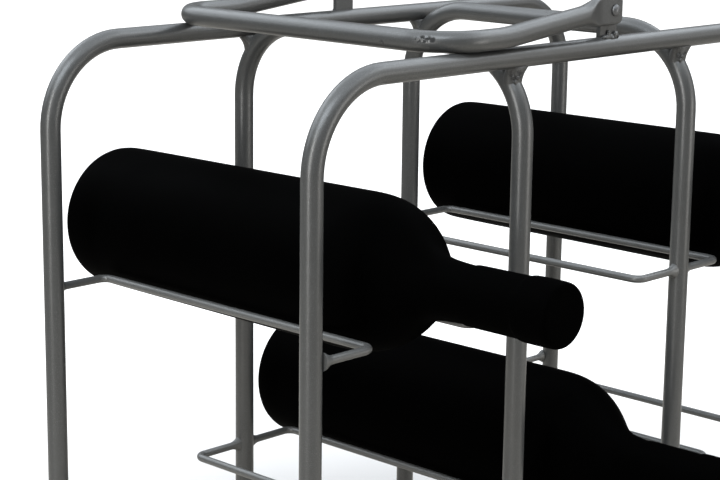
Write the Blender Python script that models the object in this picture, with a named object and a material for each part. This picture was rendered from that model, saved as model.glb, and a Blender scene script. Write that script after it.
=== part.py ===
"""Carry-handle wine rack: two long tube hoops, two cross hoops, wire bottle rests, bail and bottles."""
import math

import bmesh
import bpy
from mathutils import Matrix, Vector

for old in list(bpy.data.objects):
    bpy.data.objects.remove(old, do_unlink=True)

# Metres. X runs along the rack, -Y is the side the bottle necks point to, Z is up from the floor.
# The sizes below put the rack's own middle at Y 0; FRAME_Y then moves everything so that the middle
# of the whole object, bottle necks included, is over the origin.
FRAME_Y = 0.0295
GAP = 0.0003
TUBE_R = 0.005
WIRE_R = 0.002
TUBE_SIDES = 16
WIRE_SIDES = 10

RAIL_Z = 0.300
END_X = 0.198
RAIL_Y = 0.0903
RAIL_BEND = 0.042

CROSS_X = 0.066
CROSS_Y = 0.096
CROSS_TOP = 0.303
CROSS_BEND = 0.040

TIERS = {"upper": 0.179, "lower": 0.069}
REST_INSET = 0.035
REST_BEND = 0.005
END_REST_Y = 0.0935

# The hinge sits a little to the right of the middle.
PIVOT_X = 0.003
PIVOT_Z = 0.318
TAB_W = 0.013
TAB_T = 0.0025
ARM_Y = RAIL_Y + TAB_T / 2 + GAP + 0.00175
PLATE_T = 0.0035
PLATE_H = 0.0148
BAIL_X = 0.121
BAIL_DROP = 0.0081
BAIL_BEND = 0.024
RIVET_R = 0.0017
RIVET_HEAD_R = 0.0029

# The body widens a little from base to shoulder; it lies on its wires near the shoulder.
BOTTLE_R = 0.0372
BOTTLE_BASE_R = 0.0362
# Each bottle: X, tier, Y of its base, and how far from the base its shoulder starts.
BOTTLES = {
    "left": (-0.132, "upper", 0.1225, 0.1825),
    "middle": (0.0, "lower", 0.1210, 0.1890),
    "right": (0.132, "upper", 0.1165, 0.1855),
}


def material(name, colour, rough, metal):
    mat = bpy.data.materials.new(name)
    mat.use_nodes = True
    shader = mat.node_tree.nodes["Principled BSDF"]
    shader.inputs["Base Color"].default_value = (*colour, 1.0)
    shader.inputs["Roughness"].default_value = rough
    shader.inputs["Metallic"].default_value = metal
    return mat


def finish(bm, name, mat, origin=(0, 0, 0)):
    bmesh.ops.remove_doubles(bm, verts=bm.verts, dist=1e-7)
    bmesh.ops.recalc_face_normals(bm, faces=bm.faces)
    mesh = bpy.data.meshes.new(name)
    bm.to_mesh(mesh)
    bm.free()
    mesh.materials.append(mat)
    obj = bpy.data.objects.new(name, mesh)
    obj.location = origin
    bpy.context.scene.collection.objects.link(obj)
    return obj


def rounded(corners, bends, steps):
    """A polyline with each inner corner replaced by an arc."""
    pts = [Vector(c) for c in corners]
    path = [pts[0]]
    for i in range(1, len(pts) - 1):
        bend = bends[i - 1]
        back = (pts[i - 1] - pts[i]).normalized()
        ahead = (pts[i + 1] - pts[i]).normalized()
        if bend == 0:
            path.append(pts[i])
            continue
        half = back.angle(ahead) / 2
        reach = bend / math.tan(half)
        centre = pts[i] + (back + ahead).normalized() * (bend / math.sin(half))
        first = pts[i] + back * reach - centre
        last = pts[i] + ahead * reach - centre
        normal = first.cross(last).normalized()
        sweep = first.angle(last)
        for k in range(steps + 1):
            path.append(centre + Matrix.Rotation(sweep * k / steps, 3, normal) @ first)
    path.append(pts[-1])
    return path


def sweep(path, sides, side_dir, size_at):
    """A closed skin along path; size_at(point) gives the half sizes along side_dir and across, and the squareness."""
    bm = bmesh.new()
    rings = []
    across = Vector(side_dir)
    for i, here in enumerate(path):
        before = path[max(i - 1, 0)]
        after = path[min(i + 1, len(path) - 1)]
        tangent = ((here - before).normalized() + (after - here).normalized()).normalized()
        across = (across - tangent * across.dot(tangent)).normalized()
        other = tangent.cross(across)
        a, b, power = size_at(here)
        ring = []
        for k in range(sides):
            turn = 2 * math.pi * (k + 0.5) / sides
            c, s = math.cos(turn), math.sin(turn)
            u = a * math.copysign(abs(c) ** (2 / power), c)
            v = b * math.copysign(abs(s) ** (2 / power), s)
            ring.append(bm.verts.new(here + across * u + other * v))
        rings.append(ring)
    for one, two in zip(rings, rings[1:]):
        for k in range(sides):
            n = (k + 1) % sides
            bm.faces.new((one[k], one[n], two[n], two[k]))
    bm.faces.new(rings[0])
    bm.faces.new(rings[-1])
    return bm


def turned(profile, sides, closed):
    """A solid of revolution about Y from (radius, y) points, as a bottle lies."""
    bm = bmesh.new()
    rings = []
    for radius, y in profile:
        if radius == 0:
            rings.append([bm.verts.new((0, y, 0))])
            continue
        turns = [2 * math.pi * (k + 0.5) / sides for k in range(sides)]
        rings.append([bm.verts.new((radius * math.cos(t), y, radius * math.sin(t))) for t in turns])
    pairs = list(zip(rings, rings[1:]))
    if closed:
        pairs.append((rings[-1], rings[0]))
    for one, two in pairs:
        if len(one) + len(two) == 2:
            continue
        for k in range(sides):
            n = (k + 1) % sides
            if len(one) == 1:
                bm.faces.new((one[0], two[k], two[n]))
            elif len(two) == 1:
                bm.faces.new((one[k], one[n], two[0]))
            else:
                bm.faces.new((one[k], one[n], two[n], two[k]))
    return bm


def round_size(radius):
    return lambda point: (radius, radius, 2.0)


def cutter(bm, name):
    obj = finish(bm, name, bpy.data.materials[0])
    obj.hide_render = True
    obj.display_type = "WIRE"
    return obj


def subtract(obj, tool):
    mod = obj.modifiers.new(tool.name, "BOOLEAN")
    mod.operation = "DIFFERENCE"
    mod.solver = "EXACT"
    mod.object = tool


def pin_along_y(x, z, radius, low_y, high_y, sides=16):
    path = [Vector((x, low_y, z)), Vector((x, high_y, z))]
    return sweep(path, sides, (0, 0, 1), round_size(radius))


# Long hoops: two posts and a rail each, bent from one tube.
for name, side in (("front_hoop", -1), ("rear_hoop", 1)):
    y = side * RAIL_Y
    corners = [(-END_X, y, 0), (-END_X, y, RAIL_Z), (END_X, y, RAIL_Z), (END_X, y, 0)]
    path = rounded(corners, (RAIL_BEND, RAIL_BEND), 10)
    finish(sweep(path, TUBE_SIDES, (0, 1, 0), round_size(TUBE_R)), name, material(name, (0.13, 0.135, 0.14), 0.42, 0.6))


def cross_path(x):
    corners = [(x, -CROSS_Y, 0), (x, -CROSS_Y, CROSS_TOP), (x, CROSS_Y, CROSS_TOP), (x, CROSS_Y, 0)]
    return rounded(corners, (CROSS_BEND, CROSS_BEND), 10)


# Cross hoops: the long rails sit on the shoulders of their bends.
for name, x in (("left_cross_hoop", -CROSS_X), ("right_cross_hoop", CROSS_X)):
    mat = material(name, (0.13, 0.135, 0.14), 0.42, 0.6)
    finish(sweep(cross_path(x), TUBE_SIDES, (1, 0, 0), round_size(TUBE_R)), name, mat)

# Weld beads in the outer groove where a rail crosses a cross hoop's shoulder.
for x_name, x in (("left", -CROSS_X), ("right", CROSS_X)):
    for y_name, side in (("front", -1), ("rear", 1)):
        name = y_name + "_" + x_name + "_weld"
        bm = bmesh.new()
        bmesh.ops.create_uvsphere(bm, u_segments=12, v_segments=8, radius=1.0)
        bmesh.ops.scale(bm, vec=(0.0044, 0.0027, 0.0036), verts=bm.verts)
        bmesh.ops.translate(bm, vec=(x, side * (RAIL_Y + 0.0012), RAIL_Z - 0.0068), verts=bm.verts)
        bead = finish(bm, name, material(name, (0.11, 0.115, 0.12), 0.5, 0.6))
        reach = 0.02
        rail = [Vector((x - reach, side * RAIL_Y, RAIL_Z)), Vector((x + reach, side * RAIL_Y, RAIL_Z))]
        rail_size = round_size(TUBE_R + GAP)
        subtract(bead, cutter(sweep(rail, TUBE_SIDES, (0, 1, 0), rail_size), name + "_rail_cut"))
        subtract(bead, cutter(sweep(cross_path(x), TUBE_SIDES, (1, 0, 0), rail_size), name + "_hoop_cut"))

# Bottle rests: one bent wire from a post inward, along the bay and back out to the opposite post.
posts = (-END_X, -CROSS_X, CROSS_X, END_X)
for tier, z in TIERS.items():
    number = 0
    for i, x in enumerate(posts):
        for side in (1, -1):
            if not -END_X < x + side * REST_INSET < END_X:
                continue
            number += 1
            name = tier + "_rest_" + str(number)
            y = END_REST_Y if i in (0, 3) else CROSS_Y
            start = x + side * (TUBE_R + GAP)
            inner = x + side * REST_INSET
            corners = [(start, y, z), (inner, y, z), (inner, -y, z), (start, -y, z)]
            path = rounded(corners, (REST_BEND, REST_BEND), 5)
            mat = material(name, (0.15, 0.155, 0.16), 0.4, 0.6)
            finish(sweep(path, WIRE_SIDES, (0, 0, 1), round_size(WIRE_R)), name, mat)

# Hinge tabs welded upright on the rails at mid length, each with its rivet.
for name, side in (("front", -1), ("rear", 1)):
    bm = bmesh.new()
    outline = [(PIVOT_X - TAB_W / 2, RAIL_Z + TUBE_R + GAP), (PIVOT_X + TAB_W / 2, RAIL_Z + TUBE_R + GAP)]
    for k in range(13):
        turn = math.pi * k / 12
        outline.append((PIVOT_X + TAB_W / 2 * math.cos(turn), PIVOT_Z + TAB_W / 2 * math.sin(turn)))
    faces = []
    for y in (side * RAIL_Y - TAB_T / 2, side * RAIL_Y + TAB_T / 2):
        faces.append([bm.verts.new((px, y, pz)) for px, pz in outline])
    count = len(outline)
    for k in range(count):
        n = (k + 1) % count
        bm.faces.new((faces[0][k], faces[0][n], faces[1][n], faces[1][k]))
    bm.faces.new(faces[0])
    bm.faces.new(faces[1])
    tab = finish(bm, name + "_hinge_tab", material(name + "_hinge_tab", (0.13, 0.135, 0.14), 0.45, 0.6))
    hole = pin_along_y(PIVOT_X, PIVOT_Z, RIVET_R + GAP, side * RAIL_Y - 0.004, side * RAIL_Y + 0.004)
    subtract(tab, cutter(hole, name + "_tab_hole"))

    inner = RAIL_Y - TAB_T / 2 - GAP
    outer = ARM_Y + PLATE_T / 2 + GAP
    dome = [(0, outer + 0.0017), (0.0016, outer + 0.0015), (0.0025, outer + 0.0009), (RIVET_HEAD_R, outer)]
    shank = [(RIVET_R, outer), (RIVET_R, inner)]
    foot = [(RIVET_HEAD_R, inner), (0.0025, inner - 0.0008), (0.0016, inner - 0.0013), (0, inner - 0.0015)]
    profile = [(radius, side * y) for radius, y in dome + shank + foot]
    rivet_mat = material(name + "_rivet", (0.16, 0.165, 0.17), 0.38, 0.7)
    finish(turned(profile, 16, False), name + "_rivet", rivet_mat, (PIVOT_X, 0, PIVOT_Z))

# Bail handle, folded down to the left; its ends are flattened into plates and its origin is the rivet axis.


def bail_size(point):
    back = -point.x if abs(point.y) > ARM_Y - 0.001 else 1.0
    blend = min(max((back - 0.009) / 0.014, 0.0), 1.0)
    blend = blend * blend * (3 - 2 * blend)
    across = PLATE_T / 2 + (TUBE_R - PLATE_T / 2) * blend
    tall = PLATE_H / 2 + (TUBE_R - PLATE_H / 2) * blend
    return across, tall, 7.0 - 5.0 * blend


kink = 0.081
half_path = [(0.0058, ARM_Y, 0.0), (-0.005, ARM_Y, 0.0)]
for k in range(7):
    back = 0.009 + 0.014 * k / 6
    half_path.append((-back, ARM_Y, -BAIL_DROP * (back - 0.005) / (kink - 0.005)))
side_corners = half_path + [(-kink, ARM_Y, -BAIL_DROP), (-BAIL_X, ARM_Y, -BAIL_DROP)]
corners = side_corners + [(px, -py, pz) for px, py, pz in reversed(side_corners)]
bends = [0] * (len(half_path) - 1) + [0.12, BAIL_BEND]
path = rounded(corners, bends + bends[::-1], 8)
handle = finish(
    sweep(path, TUBE_SIDES, (0, 1, 0), bail_size), "carry_handle",
    material("carry_handle", (0.13, 0.135, 0.14), 0.4, 0.6), (PIVOT_X, 0, PIVOT_Z))
for side in (-1, 1):
    hole = pin_along_y(PIVOT_X, PIVOT_Z, RIVET_R + GAP, side * ARM_Y - 0.004, side * ARM_Y + 0.004)
    subtract(handle, cutter(hole, "handle_hole_front" if side < 0 else "handle_hole_rear"))

# Bottles lie on their rests, base to the rear: glass body, then the capsule over the neck's end.
rest_half = CROSS_X - REST_INSET
lift = math.sqrt((BOTTLE_R + WIRE_R + GAP) ** 2 - rest_half ** 2)
base_profile = [
    (0, -0.008), (0.012, -0.0065), (0.022, -0.0025), (0.0270, 0.0), (0.0312, 0.0), (0.0346, -0.0018),
    (BOTTLE_BASE_R, -0.007),
]
# Radius, and how far past the shoulder's start.
shoulder_profile = [
    (BOTTLE_R, 0.0), (0.0365, 0.008), (0.0347, 0.015), (0.0314, 0.022), (0.0265, 0.0287),
    (0.0206, 0.035), (0.0167, 0.0402), (0.0147, 0.0455), (0.0138, 0.052),
]
neck_profile = [
    (0.0130, -0.247), (0.0129, -0.2785), (0.0137, -0.2800), (0.0137, -0.2960), (0.0125, -0.2971), (0, -0.2971),
]
capsule_profile = [
    (0.0133, -0.2475), (0.0139, -0.2475), (0.0139, -0.2780), (0.0147, -0.2796), (0.0147, -0.2962),
    (0.0134, -0.298), (0, -0.298), (0, -0.2974), (0.0128, -0.2974), (0.0140, -0.2960), (0.0140, -0.2799),
    (0.0132, -0.2783),
]
for place, (x, tier, base_y, shoulder) in BOTTLES.items():
    origin = (x, base_y, TIERS[tier] + lift)
    shoulders = [(radius, -shoulder - y) for radius, y in shoulder_profile]
    glass = turned(base_profile + shoulders + neck_profile, 32, False)
    finish(glass, "bottle_" + place, material("bottle_" + place, (0.004, 0.005, 0.004), 0.1, 0.0), origin)
    cap = turned(capsule_profile, 32, True)
    finish(cap, "capsule_" + place, material("capsule_" + place, (0.01, 0.01, 0.011), 0.35, 0.0), origin)

for obj in bpy.context.scene.collection.objects:
    obj.location.y += FRAME_Y
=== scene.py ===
import math

import bmesh
import bpy
from mathutils import Matrix, Vector


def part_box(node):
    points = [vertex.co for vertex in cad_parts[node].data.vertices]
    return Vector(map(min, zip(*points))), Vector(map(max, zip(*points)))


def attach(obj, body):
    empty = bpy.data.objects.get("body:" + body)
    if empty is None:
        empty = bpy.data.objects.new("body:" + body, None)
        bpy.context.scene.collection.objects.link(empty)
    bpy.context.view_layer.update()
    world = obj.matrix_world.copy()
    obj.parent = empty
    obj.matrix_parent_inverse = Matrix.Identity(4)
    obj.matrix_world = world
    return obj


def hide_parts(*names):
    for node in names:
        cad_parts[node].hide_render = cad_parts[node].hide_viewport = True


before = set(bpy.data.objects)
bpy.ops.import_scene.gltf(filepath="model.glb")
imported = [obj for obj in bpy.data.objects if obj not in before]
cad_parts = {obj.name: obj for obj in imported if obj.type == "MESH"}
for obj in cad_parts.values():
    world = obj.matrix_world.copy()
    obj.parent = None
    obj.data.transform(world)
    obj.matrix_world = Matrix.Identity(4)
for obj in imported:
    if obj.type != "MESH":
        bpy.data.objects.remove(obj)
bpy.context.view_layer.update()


# small helpers for working in edit mode as by hand

def clearSelection():
    for each in list(bpy.context.selected_objects):
        each.select_set(False)


def boxOf(node):
    low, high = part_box(node)
    return low, high, (low + high) / 2


def startRing(name, centre, facing, radius, sides):
    # an open ring of edges, all selected, left in edit mode
    clearSelection()
    turn = Vector(facing).to_track_quat("Z", "Y").to_euler()
    bpy.ops.mesh.primitive_circle_add(vertices=sides, radius=radius, fill_type="NOTHING",
                                      location=centre, rotation=turn)
    piece = bpy.context.object
    piece.name = name
    piece.data.name = name
    bpy.ops.object.transform_apply(location=True, rotation=True, scale=True)
    bpy.ops.object.mode_set(mode="EDIT")
    bpy.ops.mesh.select_all(action="SELECT")
    return piece


def pushRing(move, size=None, centre=None):
    # carries the selected ring on, then makes it wider or narrower about its new centre
    bpy.ops.mesh.extrude_region_move(TRANSFORM_OT_translate={"value": tuple(move)})
    if size:
        bpy.ops.transform.resize(value=tuple(size), center_override=tuple(centre))


def bendRing(angle, centre, axis, steps):
    # spin turns clockwise about its axis
    bpy.ops.mesh.spin(steps=steps, angle=-angle, center=tuple(centre), axis=tuple(axis))


def closeEnds():
    bpy.ops.mesh.select_all(action="SELECT")
    bpy.ops.mesh.remove_doubles(threshold=1e-6)
    bpy.ops.mesh.select_all(action="DESELECT")
    bpy.ops.mesh.select_non_manifold()
    bpy.ops.mesh.fill_holes(sides=0)
    bpy.ops.mesh.select_all(action="SELECT")
    bpy.ops.mesh.normals_make_consistent(inside=False)


def leaveEdit(piece, smoothAngle=40):
    bpy.ops.object.mode_set(mode="OBJECT")
    clearSelection()
    piece.select_set(True)
    bpy.context.view_layer.objects.active = piece
    bpy.ops.object.shade_smooth_by_angle(angle=math.radians(smoothAngle))
    return piece


def applyModifier(piece, kind, **values):
    bpy.context.view_layer.objects.active = piece
    modifier = piece.modifiers.new(kind.lower(), kind)
    for key, value in values.items():
        setattr(modifier, key, value)
    bpy.ops.object.modifier_apply(modifier=modifier.name)


def copyPiece(piece, name, change):
    # a copy with its own mesh, whose place is in the mesh
    copy = piece.copy()
    copy.data = piece.data.copy()
    copy.name = name
    copy.data.name = name
    bpy.context.scene.collection.objects.link(copy)
    copy.data.transform(change)
    return copy


def halfTurnAbout(x, y):
    return Matrix.Translation((x, y, 0)) @ Matrix.Rotation(math.pi, 4, "Z") @ Matrix.Translation((-x, -y, 0))


def place(piece, node, body, finish):
    piece.data.materials.clear()
    piece.data.materials.append(finish)
    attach(piece, body)
    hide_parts(node)


# shader groups that the finishes share

def newGroup(name, inputs, outputs):
    group = bpy.data.node_groups.new(name, "ShaderNodeTree")
    for label, kind, value in inputs:
        socket = group.interface.new_socket(name=label, in_out="INPUT", socket_type=kind)
        socket.default_value = value
    for label, kind in outputs:
        group.interface.new_socket(name=label, in_out="OUTPUT", socket_type=kind)
    return group, group.nodes, group.links


def feed(links, value, socket):
    # a plain value is set, an output is linked
    if isinstance(value, (int, float, tuple)):
        socket.default_value = value
    else:
        links.new(value, socket)


def addNoise(nodes, links, coords, scale, detail):
    noise = nodes.new("ShaderNodeTexNoise")
    noise.inputs["Detail"].default_value = detail
    links.new(coords, noise.inputs["Vector"])
    feed(links, scale, noise.inputs["Scale"])
    return noise.outputs["Fac"]


def addMath(nodes, links, operation, first, second, clamp=False):
    node = nodes.new("ShaderNodeMath")
    node.operation = operation
    node.use_clamp = clamp
    for socket, value in zip(node.inputs, (first, second)):
        feed(links, value, socket)
    return node.outputs[0]


def addRange(nodes, links, value, fromLow, fromHigh, toLow=0.0, toHigh=1.0, smooth=False):
    node = nodes.new("ShaderNodeMapRange")
    node.interpolation_type = "SMOOTHSTEP" if smooth else "LINEAR"
    links.new(value, node.inputs["Value"])
    feed(links, fromLow, node.inputs["From Min"])
    feed(links, fromHigh, node.inputs["From Max"])
    feed(links, toLow, node.inputs["To Min"])
    feed(links, toHigh, node.inputs["To Max"])
    return node.outputs["Result"]


def addMix(nodes, links, factor, first, second, blend="MIX"):
    node = nodes.new("ShaderNodeMix")
    node.data_type = "RGBA"
    node.blend_type = blend
    sockets = [s for s in node.inputs if s.enabled]
    for socket, value in zip(sockets, (factor, first, second)):
        feed(links, value, socket)
    return [s for s in node.outputs if s.enabled][0]


def addBlend(nodes, links, first, second, share):
    # the first pattern's share, and the rest from the second
    return addMath(nodes, links, "ADD", addMath(nodes, links, "MULTIPLY", first, share),
                   addMath(nodes, links, "MULTIPLY", second, 1.0 - share))


paintPattern = dict(cloudScale=42.0, streakScale=160.0, flakeScale=2900.0, flakeFrom=0.52, flakeTo=0.72,
                    cloudShare=0.7, peelShare=0.8)
markPattern = dict(fullFrom=0.6, grainEdge=0.08)
chipPattern = dict(fineScale=1500.0, patchShare=0.65, chipEdge=0.03)


def makePaintGroup(look):
    # baked-on paint: cloudy shade, fine metal flake and a faint orange peel
    group, nodes, links = newGroup(
        "satinPaintSurface",
        [("Base Colour", "NodeSocketColor", (0.1, 0.1, 0.1, 1)),
         ("Flake Colour", "NodeSocketColor", (0.2, 0.2, 0.2, 1)),
         ("Flake Amount", "NodeSocketFloat", 0.3), ("Cloud Amount", "NodeSocketFloat", 0.1),
         ("Roughness", "NodeSocketFloat", 0.4), ("Roughness Spread", "NodeSocketFloat", 0.06),
         ("Peel Scale", "NodeSocketFloat", 700.0)],
        [("Colour", "NodeSocketColor"), ("Roughness", "NodeSocketFloat"), ("Height", "NodeSocketFloat")])
    given = nodes.new("NodeGroupInput").outputs
    result = nodes.new("NodeGroupOutput").inputs
    coords = nodes.new("ShaderNodeTexCoord").outputs["Object"]
    cloud = addNoise(nodes, links, coords, look["cloudScale"], 3.0)
    streak = addNoise(nodes, links, coords, look["streakScale"], 2.0)
    flake = addNoise(nodes, links, coords, look["flakeScale"], 1.5)
    peel = addNoise(nodes, links, coords, given["Peel Scale"], 1.0)
    sparkle = addRange(nodes, links, flake, look["flakeFrom"], look["flakeTo"])
    sparkle = addMath(nodes, links, "MULTIPLY", sparkle, given["Flake Amount"])
    colour = addMix(nodes, links, sparkle, given["Base Colour"], given["Flake Colour"])
    shade = addBlend(nodes, links, cloud, streak, look["cloudShare"])
    shade = addMath(nodes, links, "SUBTRACT", shade, 0.5)
    shade = addMath(nodes, links, "MULTIPLY", shade, given["Cloud Amount"])
    shade = addMath(nodes, links, "ADD", addMath(nodes, links, "MULTIPLY", shade, 2.0), 1.0)
    tint = nodes.new("ShaderNodeCombineColor")
    for socket in tint.inputs:
        links.new(shade, socket)
    links.new(addMix(nodes, links, 1.0, colour, tint.outputs[0], "MULTIPLY"), result["Colour"])
    spread = addMath(nodes, links, "SUBTRACT", streak, 0.5)
    spread = addMath(nodes, links, "MULTIPLY", spread, given["Roughness Spread"])
    spread = addMath(nodes, links, "MULTIPLY", spread, 2.0)
    links.new(addMath(nodes, links, "ADD", given["Roughness"], spread, True), result["Roughness"])
    links.new(addBlend(nodes, links, peel, flake, look["peelShare"]), result["Height"])
    return group


def makeMarkGroup(look):
    # a local mark: a soft ball of influence broken up by grain
    group, nodes, links = newGroup(
        "localMark",
        [("Centre", "NodeSocketVector", (0, 0, 0)), ("Reach", "NodeSocketFloat", 0.004),
         ("Grain Scale", "NodeSocketFloat", 900.0), ("Cover", "NodeSocketFloat", 0.5)],
        [("Mask", "NodeSocketFloat")])
    given = nodes.new("NodeGroupInput").outputs
    result = nodes.new("NodeGroupOutput").inputs
    coords = nodes.new("ShaderNodeTexCoord").outputs["Object"]
    away = nodes.new("ShaderNodeVectorMath")
    away.operation = "DISTANCE"
    links.new(coords, away.inputs[0])
    links.new(given["Centre"], away.inputs[1])
    near = addMath(nodes, links, "DIVIDE", away.outputs["Value"], given["Reach"])
    near = addMath(nodes, links, "SUBTRACT", 1.0, near)
    near = addRange(nodes, links, near, 0.0, look["fullFrom"], smooth=True)
    grain = addNoise(nodes, links, coords, given["Grain Scale"], 3.0)
    edge = addMath(nodes, links, "SUBTRACT", 1.0, given["Cover"])
    farEdge = addMath(nodes, links, "ADD", edge, look["grainEdge"])
    grain = addRange(nodes, links, grain, edge, farEdge, smooth=True)
    links.new(addMath(nodes, links, "MULTIPLY", near, grain), result["Mask"])
    return group


def makeChipGroup(look):
    # sparse small chips and rubbed specks all over
    group, nodes, links = newGroup(
        "tinyChips",
        [("Scale", "NodeSocketFloat", 120.0), ("Cover", "NodeSocketFloat", 0.3)],
        [("Mask", "NodeSocketFloat")])
    given = nodes.new("NodeGroupInput").outputs
    result = nodes.new("NodeGroupOutput").inputs
    coords = nodes.new("ShaderNodeTexCoord").outputs["Object"]
    patch = addNoise(nodes, links, coords, given["Scale"], 2.0)
    fine = addNoise(nodes, links, coords, look["fineScale"], 2.0)
    total = addBlend(nodes, links, patch, fine, look["patchShare"])
    edge = addMath(nodes, links, "SUBTRACT", 1.0, given["Cover"])
    farEdge = addMath(nodes, links, "ADD", edge, look["chipEdge"])
    links.new(addRange(nodes, links, total, edge, farEdge, smooth=True), result["Mask"])
    return group


print("scene: shader groups")
paintGroup = makePaintGroup(paintPattern)
markGroup = makeMarkGroup(markPattern)
chipGroup = makeChipGroup(chipPattern)


def newFinish(name):
    finish = bpy.data.materials.new(name)
    finish.use_nodes = True
    nodes, links = finish.node_tree.nodes, finish.node_tree.links
    return finish, nodes, links, nodes["Principled BSDF"]


def useGroup(nodes, group, **values):
    node = nodes.new("ShaderNodeGroup")
    node.node_tree = group
    for label, value in values.items():
        node.inputs[label].default_value = value
    return node


def paintFinish(name, look, marks=()):
    finish, nodes, links, shader = newFinish(name)
    paint = useGroup(nodes, paintGroup, **{
        "Base Colour": look["colour"],
        "Flake Colour": look["flake"],
        "Flake Amount": look["flakeAmount"],
        "Cloud Amount": look["cloud"],
        "Roughness": look["roughness"],
        "Roughness Spread": look["spread"],
        "Peel Scale": look["peelScale"]})
    chips = useGroup(nodes, chipGroup, **{"Scale": look["chipScale"], "Cover": look["chipCover"]})
    colour = addMix(nodes, links, chips.outputs["Mask"], paint.outputs["Colour"], look["chipColour"])
    height = addMath(nodes, links, "SUBTRACT", paint.outputs["Height"],
                     addMath(nodes, links, "MULTIPLY", chips.outputs["Mask"], look["chipDepth"]))
    worn = None
    for mark in marks:
        spot = useGroup(nodes, markGroup, **{
            "Centre": mark["centre"],
            "Reach": mark["reach"],
            "Grain Scale": mark["grain"],
            "Cover": mark["cover"]})
        mask = spot.outputs["Mask"]
        colour = addMix(nodes, links, mask, colour, mark["colour"])
        lift = addMath(nodes, links, "MULTIPLY", mask, mark["lift"])
        height = addMath(nodes, links, "ADD", height, lift)
        worn = addMath(nodes, links, "MAXIMUM", worn, mask) if worn else mask
    links.new(colour, shader.inputs["Base Color"])
    shader.inputs["Metallic"].default_value = look["metallic"]
    shader.inputs["Specular IOR Level"].default_value = look["specular"]
    roughness = paint.outputs["Roughness"]
    if worn:
        # worn spots are dull
        metallic = addRange(nodes, links, worn, 0.0, 1.0, look["metallic"], 0.0)
        links.new(metallic, shader.inputs["Metallic"])
        roughness = addRange(nodes, links, worn, 0.0, 1.0, roughness, look["wornRoughness"])
    links.new(roughness, shader.inputs["Roughness"])
    bump = nodes.new("ShaderNodeBump")
    bump.inputs["Strength"].default_value = look["bump"]
    bump.inputs["Distance"].default_value = look["bumpDepth"]
    links.new(height, bump.inputs["Height"])
    links.new(bump.outputs["Normal"], shader.inputs["Normal"])
    return finish


def localMark(centre, reach, cover, shade, look):
    return dict(centre=tuple(centre), reach=reach, cover=cover, colour=(shade, shade, shade, 1),
                grain=look["markGrain"], lift=look["markLift"])


tubePaint = dict(colour=(0.054, 0.055, 0.054, 1), flake=(0.14, 0.145, 0.15, 1), flakeAmount=0.4, cloud=0.10,
                 roughness=0.33, spread=0.05, peelScale=650.0, bump=0.35, bumpDepth=0.00012,
                 chipScale=90.0, chipCover=0.27, chipColour=(0.045, 0.043, 0.040, 1), chipDepth=0.8,
                 metallic=0.35, specular=0.5, wornRoughness=0.95)
# the wires' paint is the tube paint made lighter in colour: painted light for the light that falls on the
# thin top-lit wires
wirePaintWithPaintedLight = dict(tubePaint, colour=(0.085, 0.086, 0.084, 1), peelScale=900.0, roughness=0.38,
                 chipScale=140.0, chipCover=0.29)
handlePaint = dict(tubePaint, roughness=0.34)
platePaint = dict(tubePaint, roughness=0.40, peelScale=1100.0, bumpDepth=0.00018, chipCover=0.30)
weldPaint = dict(tubePaint, roughness=0.46, peelScale=1400.0, bump=0.6, bumpDepth=0.0003, chipScale=260.0,
                 chipCover=0.40, cloud=0.2, colour=(0.050, 0.050, 0.048, 1))
rivetSteel = dict(tubePaint, colour=(0.085, 0.086, 0.088, 1), roughness=0.40, metallic=0.5)


# two posts and a rail, bent from one tube
print("scene: long hoops")
longHoop = dict(tubeRadius=0.005, bendRadius=0.042, sides=44, bendSteps=18, wall=0.001, plugDepth=0.006)


def footLip(foot, wall, radius, depth):
    # turns the open ring at a foot into a tube end: wall thickness, then a recess
    inner = 1 - wall / radius
    bpy.ops.mesh.extrude_region_move()
    bpy.ops.transform.resize(value=(inner, inner, 1), center_override=tuple(foot))
    bpy.ops.mesh.extrude_region_move(TRANSFORM_OT_translate={"value": (0, 0, depth)})


def selectRingAt(piece, foot, reach):
    bpy.ops.mesh.select_all(action="DESELECT")
    shell = bmesh.from_edit_mesh(piece.data)
    for vert in shell.verts:
        vert.select = abs(vert.co.z - foot[2]) < 1e-6 and (vert.co - Vector(foot)).length < reach
    shell.select_flush(True)
    bmesh.update_edit_mesh(piece.data)


def makeHoop(name, firstFoot, along, span, height, look):
    # up from the first foot, over, and down to the second foot
    along = Vector(along)
    up = Vector((0, 0, 1))
    axis = up.cross(along)
    foot = Vector(firstFoot)
    bend, rise = look["bendRadius"], height - look["bendRadius"]
    piece = startRing(name, foot, up, look["tubeRadius"], look["sides"])
    pushRing(up * rise)
    bendRing(math.pi / 2, foot + up * rise + along * bend, axis, look["bendSteps"])
    pushRing(along * (span - 2 * bend))
    bendRing(math.pi / 2, foot + up * rise + along * (span - bend), axis, look["bendSteps"])
    pushRing(-up * rise)
    for end in (foot, foot + along * span):
        selectRingAt(piece, end, look["tubeRadius"] * 1.5)
        footLip(end, look["wall"], look["tubeRadius"], look["plugDepth"])
    closeEnds()
    return leaveEdit(piece)


low, high, mid = boxOf("front_hoop")
rearMid = boxOf("rear_hoop")[2]
rackMidY = (mid.y + rearMid.y) / 2
tube = longHoop["tubeRadius"]
railZ = high.z - tube
endX = high.x - tube
frontRailY, rearRailY = mid.y, rearMid.y
hoopFinish = paintFinish("hoopPaint", tubePaint)
frontHoop = makeHoop("longHoopFront", (-endX, frontRailY, low.z), (1, 0, 0), 2 * endX, railZ - low.z,
                     longHoop)
rearHoop = copyPiece(frontHoop, "longHoopRear", Matrix.Translation((0, rearRailY - frontRailY, 0)))
place(frontHoop, "front_hoop", "rack", hoopFinish)
place(rearHoop, "rear_hoop", "rack", hoopFinish)

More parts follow.
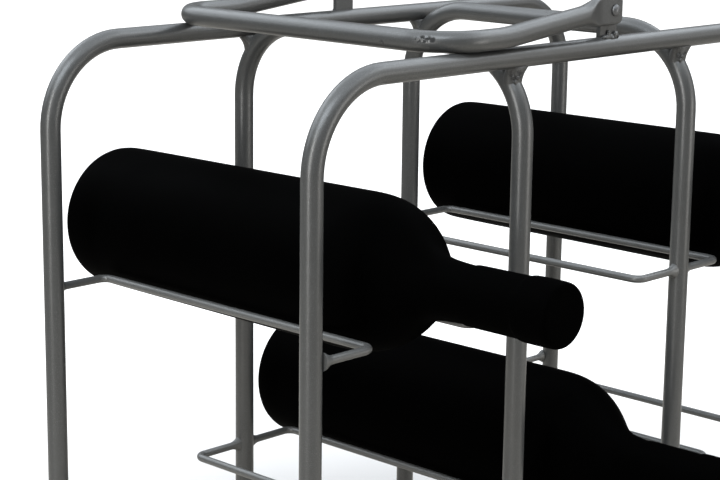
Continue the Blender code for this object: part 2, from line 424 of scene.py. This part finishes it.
# the same turned across the rack, a little higher
print("scene: cross hoops")
crossHoop = dict(longHoop, bendRadius=0.040)
low, high, mid = boxOf("left_cross_hoop")
crossRightX = boxOf("right_cross_hoop")[2].x
crossX = mid.x
crossHalfY = (high.y - low.y) / 2 - tube
leftCross = makeHoop("crossHoopLeft", (crossX, rackMidY - crossHalfY, low.z), (0, 1, 0), 2 * crossHalfY,
                     high.z - tube - low.z, crossHoop)
rightCross = copyPiece(leftCross, "crossHoopRight", Matrix.Translation((crossRightX - crossX, 0, 0)))
place(leftCross, "left_cross_hoop", "rack", hoopFinish)
place(rightCross, "right_cross_hoop", "rack", hoopFinish)

# melted metal where the rails meet the cross hoops
print("scene: welds")
# rings: height above the bead's middle, shift inward, reach along the rail, half depth
# lumps: x, y, z from the bead's middle, three half sizes, seed
# marks: x, y, z from the bead's middle, reach, cover, shade
weldCollar = dict(
    sides=40, plainSide=0.0050, roughen=0.00016, seed=4,
    rings=((-0.0077, 0.0035, 0.0047, 0.0045), (-0.0052, 0.0035, 0.0050, 0.0050),
           (-0.0027, 0.0031, 0.0053, 0.0046), (-0.0007, 0.0025, 0.0060, 0.0043),
           (0.0010, 0.0019, 0.0070, 0.0040), (0.0024, 0.0014, 0.0083, 0.0036),
           (0.0038, 0.0012, 0.0097, 0.0034)),
    lumpRoughen=0.00015,
    lumps=((-0.0022, -0.0011, -0.0039, 0.0010, 0.0007, 0.0013, 21),
           (-0.0012, -0.0014, -0.0021, 0.0013, 0.0007, 0.0010, 22),
           (-0.0034, -0.0002, -0.0016, 0.0009, 0.0008, 0.0012, 23)),
    markGrain=520.0, markLift=-0.8,
    marks=((-0.0026, -0.0010, -0.0005, 0.0040, 0.50, 0.028),
           (0.0005, -0.0016, -0.0008, 0.0022, 0.52, 0.020)))


def makeLump(name, centre, halfSize, roughen, seed):
    clearSelection()
    bpy.ops.mesh.primitive_uv_sphere_add(segments=14, ring_count=10, radius=1, location=(0, 0, 0))
    lump = bpy.context.object
    lump.name = name
    lump.data.name = name
    bpy.ops.object.mode_set(mode="EDIT")
    bpy.ops.mesh.select_all(action="SELECT")
    bpy.ops.transform.resize(value=halfSize, center_override=(0, 0, 0))
    bpy.ops.transform.vertex_random(offset=roughen, uniform=0.4, normal=0.6, seed=seed)
    bpy.ops.transform.translate(value=tuple(centre))
    bpy.ops.mesh.normals_make_consistent(inside=False)
    leaveEdit(lump, 75)
    applyModifier(lump, "SUBSURF", levels=1, render_levels=1)
    return lump


def joinPieces(piece, others):
    clearSelection()
    for each in others + [piece]:
        each.select_set(True)
    bpy.context.view_layer.objects.active = piece
    bpy.ops.object.join()
    return piece


def addLumps(piece, origin, outSide, look):
    lumps = []
    for x, y, z, sizeX, sizeY, sizeZ, seed in look["lumps"]:
        centre = origin + Vector((x, outSide * y, z))
        halfSize = (sizeX, sizeY, sizeZ)
        lumps.append(makeLump(piece.name + "Lump", centre, halfSize, look["lumpRoughen"], seed))
    joinPieces(piece, lumps)


def makeWeld(name, mid, look):
    # the melted metal flares to one side from the hoop's tube and runs up under the rail
    steps = []
    for rise, inward, reach, deep in look["rings"]:
        plain = min(reach, look["plainSide"])
        steps.append((mid + Vector(((reach - plain) / 2, inward, rise)), (reach + plain) / 2, deep))
    centre, wide, deep = steps[0]
    piece = startRing(name, centre, (0, 0, 1), 1.0, look["sides"])
    bpy.ops.transform.resize(value=(wide, deep, 1), center_override=tuple(centre))
    for nextCentre, nextWide, nextDeep in steps[1:]:
        pushRing(nextCentre - centre, (nextWide / wide, nextDeep / deep, 1), nextCentre)
        centre, wide, deep = nextCentre, nextWide, nextDeep
    closeEnds()
    bpy.ops.transform.vertex_random(offset=look["roughen"], uniform=0.3, normal=0.7, seed=look["seed"])
    leaveEdit(piece, 60)
    applyModifier(piece, "SUBSURF", levels=1, render_levels=1)
    addLumps(piece, mid, 1, look)
    return leaveEdit(piece, 60)


weldMid = boxOf("front_left_weld")[2]
firstWeld = makeWeld("weldFrontLeft", weldMid, weldCollar)
acrossTo = Matrix.Translation((crossRightX - crossX, 0, 0))
weldPlaces = (
    ("weldFrontRight", "front_right_weld", acrossTo),
    ("weldRearRight", "rear_right_weld", halfTurnAbout(0, rackMidY)),
    ("weldRearLeft", "rear_left_weld", halfTurnAbout(crossX, rackMidY)))
welds = [(firstWeld, "front_left_weld")]
weldMarks = []
for change in [Matrix()] + [each[2] for each in weldPlaces]:
    for x, y, z, reach, cover, shade in weldCollar["marks"]:
        centre = change @ (weldMid + Vector((x, y, z)))
        weldMarks.append(localMark(centre, reach, cover, shade, weldCollar))
weldFinish = paintFinish("weldPaint", weldPaint, weldMarks)
for name, node, change in weldPlaces:
    welds.append((copyPiece(firstWeld, name, change), node))
for piece, node in welds:
    place(piece, node, "rack", weldFinish)


# bent wires welded to the posts, two to a bay on each tier
print("scene: bottle rests")
# flare: distance from the wire's end, width and height against the wire's own
restWire = dict(radius=0.002, bendRadius=0.005, bendSteps=9, sides=22, sink=0.0012, bayRoom=0.02,
                flare=((0.0012, 1.42, 1.95), (0.0026, 1.22, 1.5), (0.0042, 1.05, 1.14), (0.0058, 1.0, 1.0)),
                endSize=(1.5, 2.1))


def makeRest(name, postX, side, inset, halfY, z, postRadius, look):
    # from the near post inward, along the bay, and out to the far post, with a weld flare at both ends
    radius, bend = look["radius"], look["bendRadius"]
    outward = Vector((side, 0, 0))
    startX = postX + side * (postRadius - look["sink"])
    innerX = postX + side * inset
    at = Vector((startX, rackMidY - halfY, z))
    piece = startRing(name, at, outward, radius, look["sides"])
    bpy.ops.transform.resize(value=(1, look["endSize"][0], look["endSize"][1]), center_override=tuple(at))
    wide, tall, gone = look["endSize"][0], look["endSize"][1], 0.0
    for distance, nextWide, nextTall in look["flare"]:
        at = at + outward * (distance - gone)
        pushRing(outward * (distance - gone), (1, nextWide / wide, nextTall / tall), at)
        wide, tall, gone = nextWide, nextTall, distance
    pushRing(outward * (abs(innerX - startX) - gone - bend))
    corner = Vector((innerX - side * bend, rackMidY - halfY + bend, z))
    bendRing(side * math.pi / 2, corner, (0, 0, 1), look["bendSteps"])
    pushRing(Vector((0, 2 * (halfY - bend), 0)))
    corner = Vector((innerX - side * bend, rackMidY + halfY - bend, z))
    bendRing(side * math.pi / 2, corner, (0, 0, 1), look["bendSteps"])
    at = Vector((innerX - side * bend, rackMidY + halfY, z))
    stops = [(abs(innerX - startX) - bend - d, w, t) for d, w, t in reversed(look["flare"])]
    stops.append((abs(innerX - startX) - bend, look["endSize"][0], look["endSize"][1]))
    gone, wide, tall = 0.0, 1.0, 1.0
    for distance, nextWide, nextTall in stops:
        at = at - outward * (distance - gone)
        pushRing(-outward * (distance - gone), (1, nextWide / wide, nextTall / tall), at)
        wide, tall, gone = nextWide, nextTall, distance
    closeEnds()
    return leaveEdit(piece)


# the rests' lighter paint colour is painted light from above
restFinishWithPaintedLight = paintFinish("restPaintWithPaintedLight", wirePaintWithPaintedLight)
posts = (-endX, crossX, crossRightX, endX)
for tier in ("upper", "lower"):
    number = 0
    for postX in posts:
        for side in (1, -1):
            # the end posts have no bay on their outer side
            if not -endX < postX + side * restWire["bayRoom"] < endX:
                continue
            number += 1
            node = tier + "_rest_" + str(number)
            low, high, mid = boxOf(node)
            wire = restWire["radius"]
            reach = (high.x - wire - postX) if side > 0 else (postX - low.x - wire)
            rest = makeRest(tier + "Rest" + str(number), postX, side, reach, (high.y - low.y) / 2 - wire,
                            mid.z, tube, restWire)
            place(rest, node, "rack", restFinishWithPaintedLight)

# round-topped plates on the rails
print("scene: hinge tabs")
# lumps and marks: x, y outward, z from the middle of the foot, then as for the welds
hingeTab = dict(
    sides=64, holeRadius=0.0020, edge=0.00035, sink=0.0012, footSpread=1.005, lumpRoughen=0.00018,
    lumps=((0.0000, 0.0014, 0.0004, 0.0066, 0.0017, 0.0019, 11),
           (0.0047, 0.0022, 0.0012, 0.0022, 0.0012, 0.0021, 12),
           (-0.0006, 0.0020, 0.0018, 0.0014, 0.0009, 0.0023, 13),
           (-0.0042, 0.0022, 0.0006, 0.0018, 0.0010, 0.0012, 14),
           (0.0018, 0.0024, 0.0002, 0.0016, 0.0011, 0.0011, 15)),
    markGrain=700.0, markLift=-1.0,
    marks=((0.0054, 0.0034, 0.0000, 0.0017, 0.85, 0.003), (-0.0044, 0.0030, -0.0002, 0.0013, 0.85, 0.004),
           (0.0022, 0.0030, 0.0010, 0.0026, 0.42, 0.012)))
low, high, mid = boxOf("front_hinge_tab")
tabHalfWidth = (high.x - low.x) / 2
tabThick = high.y - low.y
pivotZ = high.z - tabHalfWidth
pivotX = mid.x
footZ = low.z - hingeTab["sink"]


def makeTab(name, centreY, outSide, look):
    front = centreY - tabThick / 2
    centre = (pivotX, front, pivotZ)
    piece = startRing(name, centre, (0, 1, 0), tabHalfWidth, look["sides"])
    bpy.ops.mesh.extrude_region_move()
    size = look["holeRadius"] / tabHalfWidth
    bpy.ops.transform.resize(value=(size, 1, size), center_override=centre)
    # the lower half of the rim drops to the rail
    shell = bmesh.from_edit_mesh(piece.data)
    for vert in shell.verts:
        offset = vert.co - Vector(centre)
        vert.select = offset.length > tabHalfWidth * 0.9 and offset.z < -1e-5
    shell.select_flush(True)
    bmesh.update_edit_mesh(piece.data)
    bpy.ops.transform.resize(value=(look["footSpread"], 1, 0), center_override=(pivotX, front, footZ))
    bpy.ops.mesh.select_all(action="SELECT")
    bpy.ops.mesh.extrude_region_move(TRANSFORM_OT_translate={"value": (0, tabThick, 0)})
    bpy.ops.mesh.select_all(action="SELECT")
    bpy.ops.mesh.normals_make_consistent(inside=False)
    leaveEdit(piece)
    applyModifier(piece, "BEVEL", width=look["edge"], segments=2, limit_method="ANGLE",
                  angle_limit=math.radians(50))
    addLumps(piece, Vector((pivotX, centreY, footZ)), outSide, look)
    return leaveEdit(piece)


tabSides = (("front_hinge_tab", "hingeTabFront", -1), ("rear_hinge_tab", "hingeTabRear", 1))
tabMarks = []
for node, name, outSide in tabSides:
    for x, y, z, reach, cover, shade in hingeTab["marks"]:
        centre = (pivotX + x, boxOf(node)[2].y + outSide * y, footZ + z)
        tabMarks.append(localMark(centre, reach, cover, shade, hingeTab))
plateFinish = paintFinish("platePaint", platePaint, tabMarks)
for node, name, outSide in tabSides:
    place(makeTab(name, boxOf(node)[2].y, outSide, hingeTab), node, "rack", plateFinish)

# a shank with a dome at both ends
print("scene: rivets")
# dome: radius and drop from the crown, as shares of the head's radius and rise
hingeRivet = dict(sides=40, shank=0.0017, headRadius=0.0029, headRise=0.0017, footRise=0.0015,
                  dome=((0.18, 0.04), (0.55, 0.10), (0.86, 0.50), (0.97, 0.80), (1.0, 1.0)))
rivetFinish = paintFinish("rivetSteel", rivetSteel)


def makeRivet(name, outerY, innerY, outSide, look):
    # outerY and innerY are the head's and the foot's crowns
    def ringAt(y):
        return Vector((pivotX, y, pivotZ))
    head, shank = look["headRadius"], look["shank"]
    outline = [(head * wide, outerY - outSide * look["headRise"] * drop) for wide, drop in look["dome"]]
    outline.append((shank, outerY - outSide * look["headRise"]))
    outline.append((shank, innerY + outSide * look["footRise"]))
    for wide, drop in reversed(look["dome"]):
        outline.append((head * wide, innerY + outSide * look["footRise"] * drop))
    radius, y = outline[0]
    piece = startRing(name, ringAt(y), (0, outSide, 0), radius, look["sides"])
    for nextRadius, nextY in outline[1:]:
        size = nextRadius / radius
        pushRing((0, nextY - y, 0), (size, 1, size), ringAt(nextY))
        radius, y = nextRadius, nextY
    closeEnds()
    return leaveEdit(piece, 45)


for node, name, outSide in (("front_rivet", "rivetFront", -1), ("rear_rivet", "rivetRear", 1)):
    low, high, mid = boxOf(node)
    outerY, innerY = (low.y, high.y) if outSide < 0 else (high.y, low.y)
    rivet = makeRivet(name, outerY, innerY, outSide, hingeRivet)
    place(rivet, node, "rack", rivetFinish)

# one bent tube with two flat, pierced ends
print("scene: carry handle")
# reach, kink, levelFrom, pressFrom, taper and tip are measured back from the pivot
# taper: distance, share of the pressing; tip: distance, share of the plate's height
# marks: distance beyond the grip, distance in from the front arm, height, reach, cover, shade
carryBail = dict(
    tubeRadius=0.005, bendRadius=0.024, bendSteps=14, sides=44, reach=0.121, drop=0.0081,
    kink=0.081, kinkRadius=0.12, kinkSteps=6, levelFrom=0.009,
    plateThick=0.0035, plateHeight=0.0148, pressFrom=0.027, bulge=0.9, holeRadius=0.0020, drillReach=0.004,
    taper=((0.0240, 0.02), (0.0222, 0.08), (0.0205, 0.18), (0.0188, 0.32), (0.0172, 0.48),
           (0.0156, 0.65), (0.0140, 0.80), (0.0124, 0.91), (0.0108, 0.97), (0.0092, 1.00)),
    tip=((0.004, 1.0), (-0.0030, 1.0), (-0.0046, 0.94), (-0.0054, 0.84), (-0.0058, 0.70)),
    markGrain=560.0, markLift=-0.2,
    marks=((0.0036, 0.0145, 0.0012, 0.0022, 0.55, 0.012), (0.0024, 0.0123, 0.0016, 0.0026, 0.56, 0.008),
           (0.0012, 0.0102, 0.0012, 0.0026, 0.52, 0.010), (0.0002, 0.0081, 0.0014, 0.0018, 0.54, 0.014),
           (0.0048, 0.0352, -0.0017, 0.0018, 0.60, 0.018), (0.0036, 0.0137, -0.0020, 0.0042, 0.32, 0.025)))
low, high, mid = boxOf("carry_handle")
armY = (high.y - low.y) / 2 - carryBail["tubeRadius"]
frontArmY = rackMidY - armY
gripZ = pivotZ - carryBail["drop"]


def makeBail(name, look):
    # half of it from the middle of the grip to the front plate, then mirrored to the rear
    radius, bend = look["tubeRadius"], look["bendRadius"]
    gripX, kinkX = pivotX - look["reach"], pivotX - look["kink"]
    at = Vector((gripX, rackMidY, gripZ))
    piece = startRing(name, at, (0, -1, 0), radius, look["sides"])
    pushRing((0, -(armY - bend), 0))
    bendRing(math.pi / 2, (gripX + bend, frontArmY + bend, gripZ), (0, 0, 1), look["bendSteps"])
    angle = math.atan2(look["drop"], look["kink"] - look["levelFrom"])
    kinkRadius = look["kinkRadius"]
    lead = kinkRadius * math.tan(angle / 2)
    straight = look["reach"] - bend - look["kink"] - lead
    pushRing((straight, 0, 0))
    centre = (kinkX - lead, frontArmY, gripZ + kinkRadius)
    bendRing(-angle, centre, (0, 1, 0), look["kinkSteps"])
    x = kinkX - lead + kinkRadius * math.sin(angle)
    z = gripZ + kinkRadius * (1 - math.cos(angle))
    # on to where the pressing starts, with the ring stood upright again
    startX = pivotX - look["pressFrom"]
    startZ = z + (startX - x) * math.tan(angle)
    bpy.ops.mesh.extrude_region_move(TRANSFORM_OT_translate={"value": (startX - x, 0, startZ - z)})
    bpy.ops.transform.resize(value=(0, 1, 1), center_override=(startX, frontArmY, startZ))
    pressEnd(piece, look, startX, startZ)
    closeTip(piece)
    bpy.ops.mesh.select_all(action="SELECT")
    bpy.ops.mesh.duplicate()
    bpy.ops.transform.resize(value=(1, -1, 1), center_override=(0, rackMidY, 0))
    closeEnds()
    return leaveEdit(piece)


def pressEnd(piece, look, startX, startZ):
    # the tube's round end is squeezed ring by ring into a flat plate
    radius = look["tubeRadius"]
    wide, tall, x, z = 1.0, 1.0, startX, startZ
    riseLeft = pivotZ - startZ
    stops = [(back, press, 1.0) for back, press in look["taper"]]
    stops += [(back, 1.0, keep) for back, keep in look["tip"]]
    flatFrom = look["taper"][-1][0]
    for back, press, keep in stops:
        share = min(1.0, (look["pressFrom"] - back) / (look["pressFrom"] - flatFrom))
        newX, newZ = pivotX - back, startZ + riseLeft * share
        halfThick = radius + (look["plateThick"] / 2 - radius) * press
        halfTall = (radius + (look["plateHeight"] / 2 - radius) * press) * keep
        bulge = 1.0 + look["bulge"] * press
        newWide, newTall = halfThick * bulge / radius, halfTall / radius
        pushRing((newX - x, 0, newZ - z), (1, newWide / wide, newTall / tall), (newX, frontArmY, newZ))
        wide, tall, x, z = newWide, newTall, newX, newZ
    for back, press, keep in stops:
        halfThick = radius + (look["plateThick"] / 2 - radius) * press
        for side in (-1, 1):
            planeY = frontArmY + side * halfThick
            shell = bmesh.from_edit_mesh(piece.data)
            found = 0
            for vert in shell.verts:
                onRing = abs(vert.co.x - pivotX + back) < 1e-5
                vert.select = onRing and (vert.co.y - planeY) * side > 1e-7
                found += vert.select
            shell.select_flush(True)
            bmesh.update_edit_mesh(piece.data)
            if found:
                bpy.ops.transform.resize(value=(1, 0, 1), center_override=(0, planeY, 0))


def closeTip(piece):
    # fills only the plate's tip
    shell = bmesh.from_edit_mesh(piece.data)
    far = max(v.co.x for v in shell.verts)
    for vert in shell.verts:
        vert.select = abs(vert.co.x - far) < 1e-6
    shell.select_flush(True)
    bmesh.update_edit_mesh(piece.data)
    bpy.ops.mesh.edge_face_add()


def drillAlongY(piece, x, z, y, radius, halfDepth):
    clearSelection()
    bpy.ops.mesh.primitive_cylinder_add(vertices=40, radius=radius, depth=2 * halfDepth, location=(x, y, z),
                                        rotation=(math.pi / 2, 0, 0))
    drill = bpy.context.object
    bpy.ops.object.transform_apply(location=True, rotation=True, scale=True)
    applyModifier(piece, "BOOLEAN", object=drill, operation="DIFFERENCE", solver="EXACT")
    bpy.data.objects.remove(drill)


bail = makeBail("carryBail", carryBail)
for side in (-1, 1):
    drillAlongY(bail, pivotX, pivotZ, rackMidY + side * armY, carryBail["holeRadius"],
                carryBail["drillReach"])
leaveEdit(bail)
# scuffs where the paint has rubbed through at the grip's front corner
bailMarks = []
for beyond, inward, rise, reach, cover, shade in carryBail["marks"]:
    centre = (pivotX - carryBail["reach"] - beyond, frontArmY + inward, gripZ + rise)
    bailMarks.append(localMark(centre, reach, cover, shade, carryBail))
handleFinish = paintFinish("handlePaint", handlePaint, bailMarks)
place(bail, "carry_handle", "handle", handleFinish)

# turned pieces, with their necks towards -Y
print("scene: bottles")
# outline points are (radius, y from the base), but the shoulder's are (radius, distance beyond shoulderAt)
bottleShape = dict(sides=48, base=((0.0, -0.008), (0.004, -0.0079), (0.012, -0.0065), (0.022, -0.0025),
                                   (0.0262, -0.0003), (0.0290, 0.0), (0.0318, -0.0002), (0.0344, -0.0016),
                                   (0.0358, -0.0042), (0.0362, -0.0080), (0.03635, -0.030)),
                   shoulder=((0.03705, -0.020), (0.0372, -0.004), (0.03715, 0.002), (0.0366, 0.008),
                             (0.0348, 0.015), (0.0315, 0.022), (0.0266, 0.0287), (0.0206, 0.035),
                             (0.0166, 0.0402), (0.0146, 0.0455), (0.0138, 0.052)),
                   neck=((0.0130, -0.247), (0.01295, -0.260), (0.0129, -0.2785), (0.0137, -0.2800),
                         (0.0137, -0.2960), (0.0125, -0.2971), (0.004, -0.2971), (0.0, -0.2971)),
                   shoulderAt=dict(left=0.1825, middle=0.1890, right=0.1855))
capsuleShape = dict(sides=48, outline=(
    (0.0131, -0.2475), (0.0137, -0.2472), (0.0139, -0.2480), (0.0139, -0.2630),
    (0.0139, -0.2776), (0.0141, -0.2786), (0.0146, -0.2794), (0.0148, -0.2804),
    (0.0148, -0.2950), (0.0145, -0.2966), (0.0137, -0.2976), (0.0120, -0.2980),
    (0.004, -0.2980), (0.0, -0.2980)))


def makeTurned(name, origin, outline, sides, poleRadius=0.0004):
    # rings pulled along the bottle's own axis; a radius of zero gets a tiny ring that is filled
    def at(y):
        return Vector((origin[0], origin[1] + y, origin[2]))
    radius, y = max(outline[0][0], poleRadius), outline[0][1]
    piece = startRing(name, at(y), (0, 1, 0), radius, sides)
    for nextRadius, nextY in outline[1:]:
        nextRadius = max(nextRadius, poleRadius)
        size = nextRadius / radius
        pushRing((0, nextY - y, 0), (size, 1, size), at(nextY))
        radius, y = nextRadius, nextY
    closeEnds()
    leaveEdit(piece, 60)
    applyModifier(piece, "SUBSURF", levels=1, render_levels=1)
    return piece


def bottleFinish(name, look):
    finish, nodes, links, shader = newFinish(name)
    coords = nodes.new("ShaderNodeTexCoord").outputs["Object"]
    cloud = addNoise(nodes, links, coords, look["cloudScale"], 4.0)
    fine = addNoise(nodes, links, coords, look["fineScale"], 2.0)
    both = addBlend(nodes, links, cloud, fine, look["cloudShare"])
    links.new(addMix(nodes, links, both, look["dark"], look["light"]), shader.inputs["Base Color"])
    roughness = addRange(nodes, links, both, 0.3, 0.7, look["roughLow"], look["roughHigh"])
    links.new(roughness, shader.inputs["Roughness"])
    bump = nodes.new("ShaderNodeBump")
    bump.inputs["Strength"].default_value = look["bump"]
    bump.inputs["Distance"].default_value = look["bumpDepth"]
    links.new(fine, bump.inputs["Height"])
    links.new(bump.outputs["Normal"], shader.inputs["Normal"])
    shader.inputs["Specular IOR Level"].default_value = look["specular"]
    return finish


blackGlass = dict(dark=(0.0002, 0.0002, 0.0002, 1), light=(0.0006, 0.0006, 0.0006, 1),
                  cloudScale=30.0, fineScale=1200.0, cloudShare=0.6, roughLow=0.45, roughHigh=0.6,
                  bump=0.1, bumpDepth=0.0001, specular=0.002)
blackFoil = dict(blackGlass, roughLow=0.5, roughHigh=0.65, bump=0.25)
for key in ("left", "middle", "right"):
    bottleNode, capsuleNode = "bottle_" + key, "capsule_" + key
    low, high, mid = boxOf(bottleNode)
    origin = (mid.x, high.y, mid.z)
    shoulderAt = bottleShape["shoulderAt"][key]
    outline = list(bottleShape["base"])
    outline += [(radius, -shoulderAt - beyond) for radius, beyond in bottleShape["shoulder"]]
    outline += bottleShape["neck"]
    glass = makeTurned(key + "Bottle", origin, outline, bottleShape["sides"])
    place(glass, bottleNode, bottleNode, bottleFinish(key + "BottleBlack", blackGlass))
    capsule = makeTurned(key + "Capsule", origin, capsuleShape["outline"], capsuleShape["sides"])
    place(capsule, capsuleNode, bottleNode, bottleFinish(key + "CapsuleBlack", blackFoil))

# a pale floor that glows only for the camera, and soft boxes
print("scene: studio")
studio = dict(floorSize=30.0, glowNear=0.30, glowFar=1.06, glowFrom=0.12, glowTo=0.55, floorPale=0.27,
              floorSpread=1.04, floorGrain=3.0, bounceNear=0.50, bounceFar=0.22, bounceFrom=0.3, bounceTo=1.0,
              bounceTint=dict(Red=1.0, Green=0.92, Blue=0.81), worldLight=0.24, worldSeen=1.2, aimHeight=0.2)
clearSelection()
bpy.ops.mesh.primitive_plane_add(size=studio["floorSize"], location=(0, 0, 0))
floor = bpy.context.object
floor.name = "studioFloor"
bpy.ops.object.mode_set(mode="EDIT")
bpy.ops.mesh.select_all(action="SELECT")
bpy.ops.mesh.subdivide(number_cuts=4)
bpy.ops.object.mode_set(mode="OBJECT")
floorFinish, nodes, links, shader = newFinish("paleFloor")
coords = nodes.new("ShaderNodeTexCoord").outputs["Object"]
grain = addNoise(nodes, links, coords, studio["floorGrain"], 2.0)
floorPath = nodes.new("ShaderNodeLightPath")
pale = studio["floorPale"]
paler = pale * studio["floorSpread"]
paleShade = addMix(nodes, links, grain, (pale, pale, pale, 1), (paler, paler, paler, 1))
away = nodes.new("ShaderNodeVectorMath")
away.operation = "LENGTH"
links.new(coords, away.inputs[0])
# the bounced light is warm, and strongest close under the rack
bounce = addRange(nodes, links, away.outputs["Value"], studio["bounceFrom"], studio["bounceTo"],
                  studio["bounceNear"], studio["bounceFar"], smooth=True)
warm = nodes.new("ShaderNodeCombineColor")
for channel, tint in studio["bounceTint"].items():
    links.new(addMath(nodes, links, "MULTIPLY", bounce, tint), warm.inputs[channel])
links.new(addMix(nodes, links, floorPath.outputs["Is Camera Ray"], warm.outputs["Color"], paleShade),
          shader.inputs["Base Color"])
shader.inputs["Roughness"].default_value = 0.9
shader.inputs["Specular IOR Level"].default_value = 0.0
shader.inputs["Emission Color"].default_value = (1, 1, 1, 1)
glow = addRange(nodes, links, away.outputs["Value"], studio["glowFrom"], studio["glowTo"], studio["glowNear"],
                studio["glowFar"], smooth=True)
links.new(addMath(nodes, links, "MULTIPLY", glow, floorPath.outputs["Is Camera Ray"]),
          shader.inputs["Emission Strength"])
floor.data.materials.append(floorFinish)

world = bpy.data.worlds.new("studioWorld")
bpy.context.scene.world = world
world.use_nodes = True
nodes, links = world.node_tree.nodes, world.node_tree.links
background = nodes["Background"]
background.inputs["Color"].default_value = (1, 1, 1, 1)
path = nodes.new("ShaderNodeLightPath")
links.new(addRange(nodes, links, path.outputs["Is Camera Ray"], 0.0, 1.0, studio["worldLight"],
                   studio["worldSeen"]), background.inputs["Strength"])

rackMid = Vector((0, rackMidY, studio["aimHeight"]))


def softBox(name, azimuth, elevation, distance, width, height, watts, colour):
    # azimuth 0 stands on the front side, 90 on the +X side
    across, up = math.radians(azimuth), math.radians(elevation)
    away = Vector((math.sin(across) * math.cos(up), -math.cos(across) * math.cos(up), math.sin(up)))
    spot = rackMid + distance * away
    light = bpy.data.lights.new(name, "AREA")
    light.shape = "RECTANGLE"
    light.size, light.size_y = width, height
    light.energy = watts
    light.color = colour
    lamp = bpy.data.objects.new(name, light)
    bpy.context.scene.collection.objects.link(lamp)
    lamp.location = spot
    lamp.rotation_euler = (rackMid - spot).to_track_quat("-Z", "Y").to_euler()
    lamp.visible_camera = False


# name, azimuth, elevation, distance, width, height, watts, colour; angles in degrees, lengths in metres
softBoxes = (
    ("keyBox", -76, 12, 1.6, 0.36, 1.2, 15.5, (1.0, 0.99, 0.97)),
    ("fillBox", 42, 26, 2.4, 1.8, 2.4, 19, (1.0, 0.99, 0.98)),
    ("lowBox", 23, 0, 1.3, 0.58, 0.38, 3.1, (1.0, 0.97, 0.93)),
    ("rightBox", 80, 42, 2.6, 2.4, 1.3, 19, (0.88, 0.94, 1.0)),
    ("leftBox", -66, 50, 2.2, 1.6, 1.0, 31, (0.86, 0.93, 1.0)),
    ("backBox", -160, 34, 2.4, 2.4, 1.5, 32, (0.88, 0.94, 1.0)),
    ("topBox", 134, 86, 2.0, 5.0, 5.0, 155, (0.87, 0.93, 1.0)))
for box in softBoxes:
    softBox(*box)

# place: x, y from the rack's middle, z
viewPoint = dict(place=(-0.75319, -0.65496, 0.40341), azimuth=46.001, elevation=12.155, roll=0.655,
                 lens=95.806)
cameraData = bpy.data.cameras.new("studioCamera")
cameraData.lens = viewPoint["lens"]
cameraData.sensor_width = 36
cameraObject = bpy.data.objects.new("studioCamera", cameraData)
bpy.context.scene.collection.objects.link(cameraObject)
turn = Matrix.Rotation(-math.radians(viewPoint["azimuth"]), 4, "Z")
tip = Matrix.Rotation(math.pi / 2 - math.radians(viewPoint["elevation"]), 4, "X")
roll = Matrix.Rotation(math.radians(viewPoint["roll"]), 4, "Z")
spot = Vector(viewPoint["place"]) + Vector((0, rackMidY, 0))
cameraObject.matrix_world = Matrix.Translation(spot) @ turn @ tip @ roll
bpy.context.scene.camera = cameraObject
bpy.context.scene.view_settings.view_transform = "Standard"
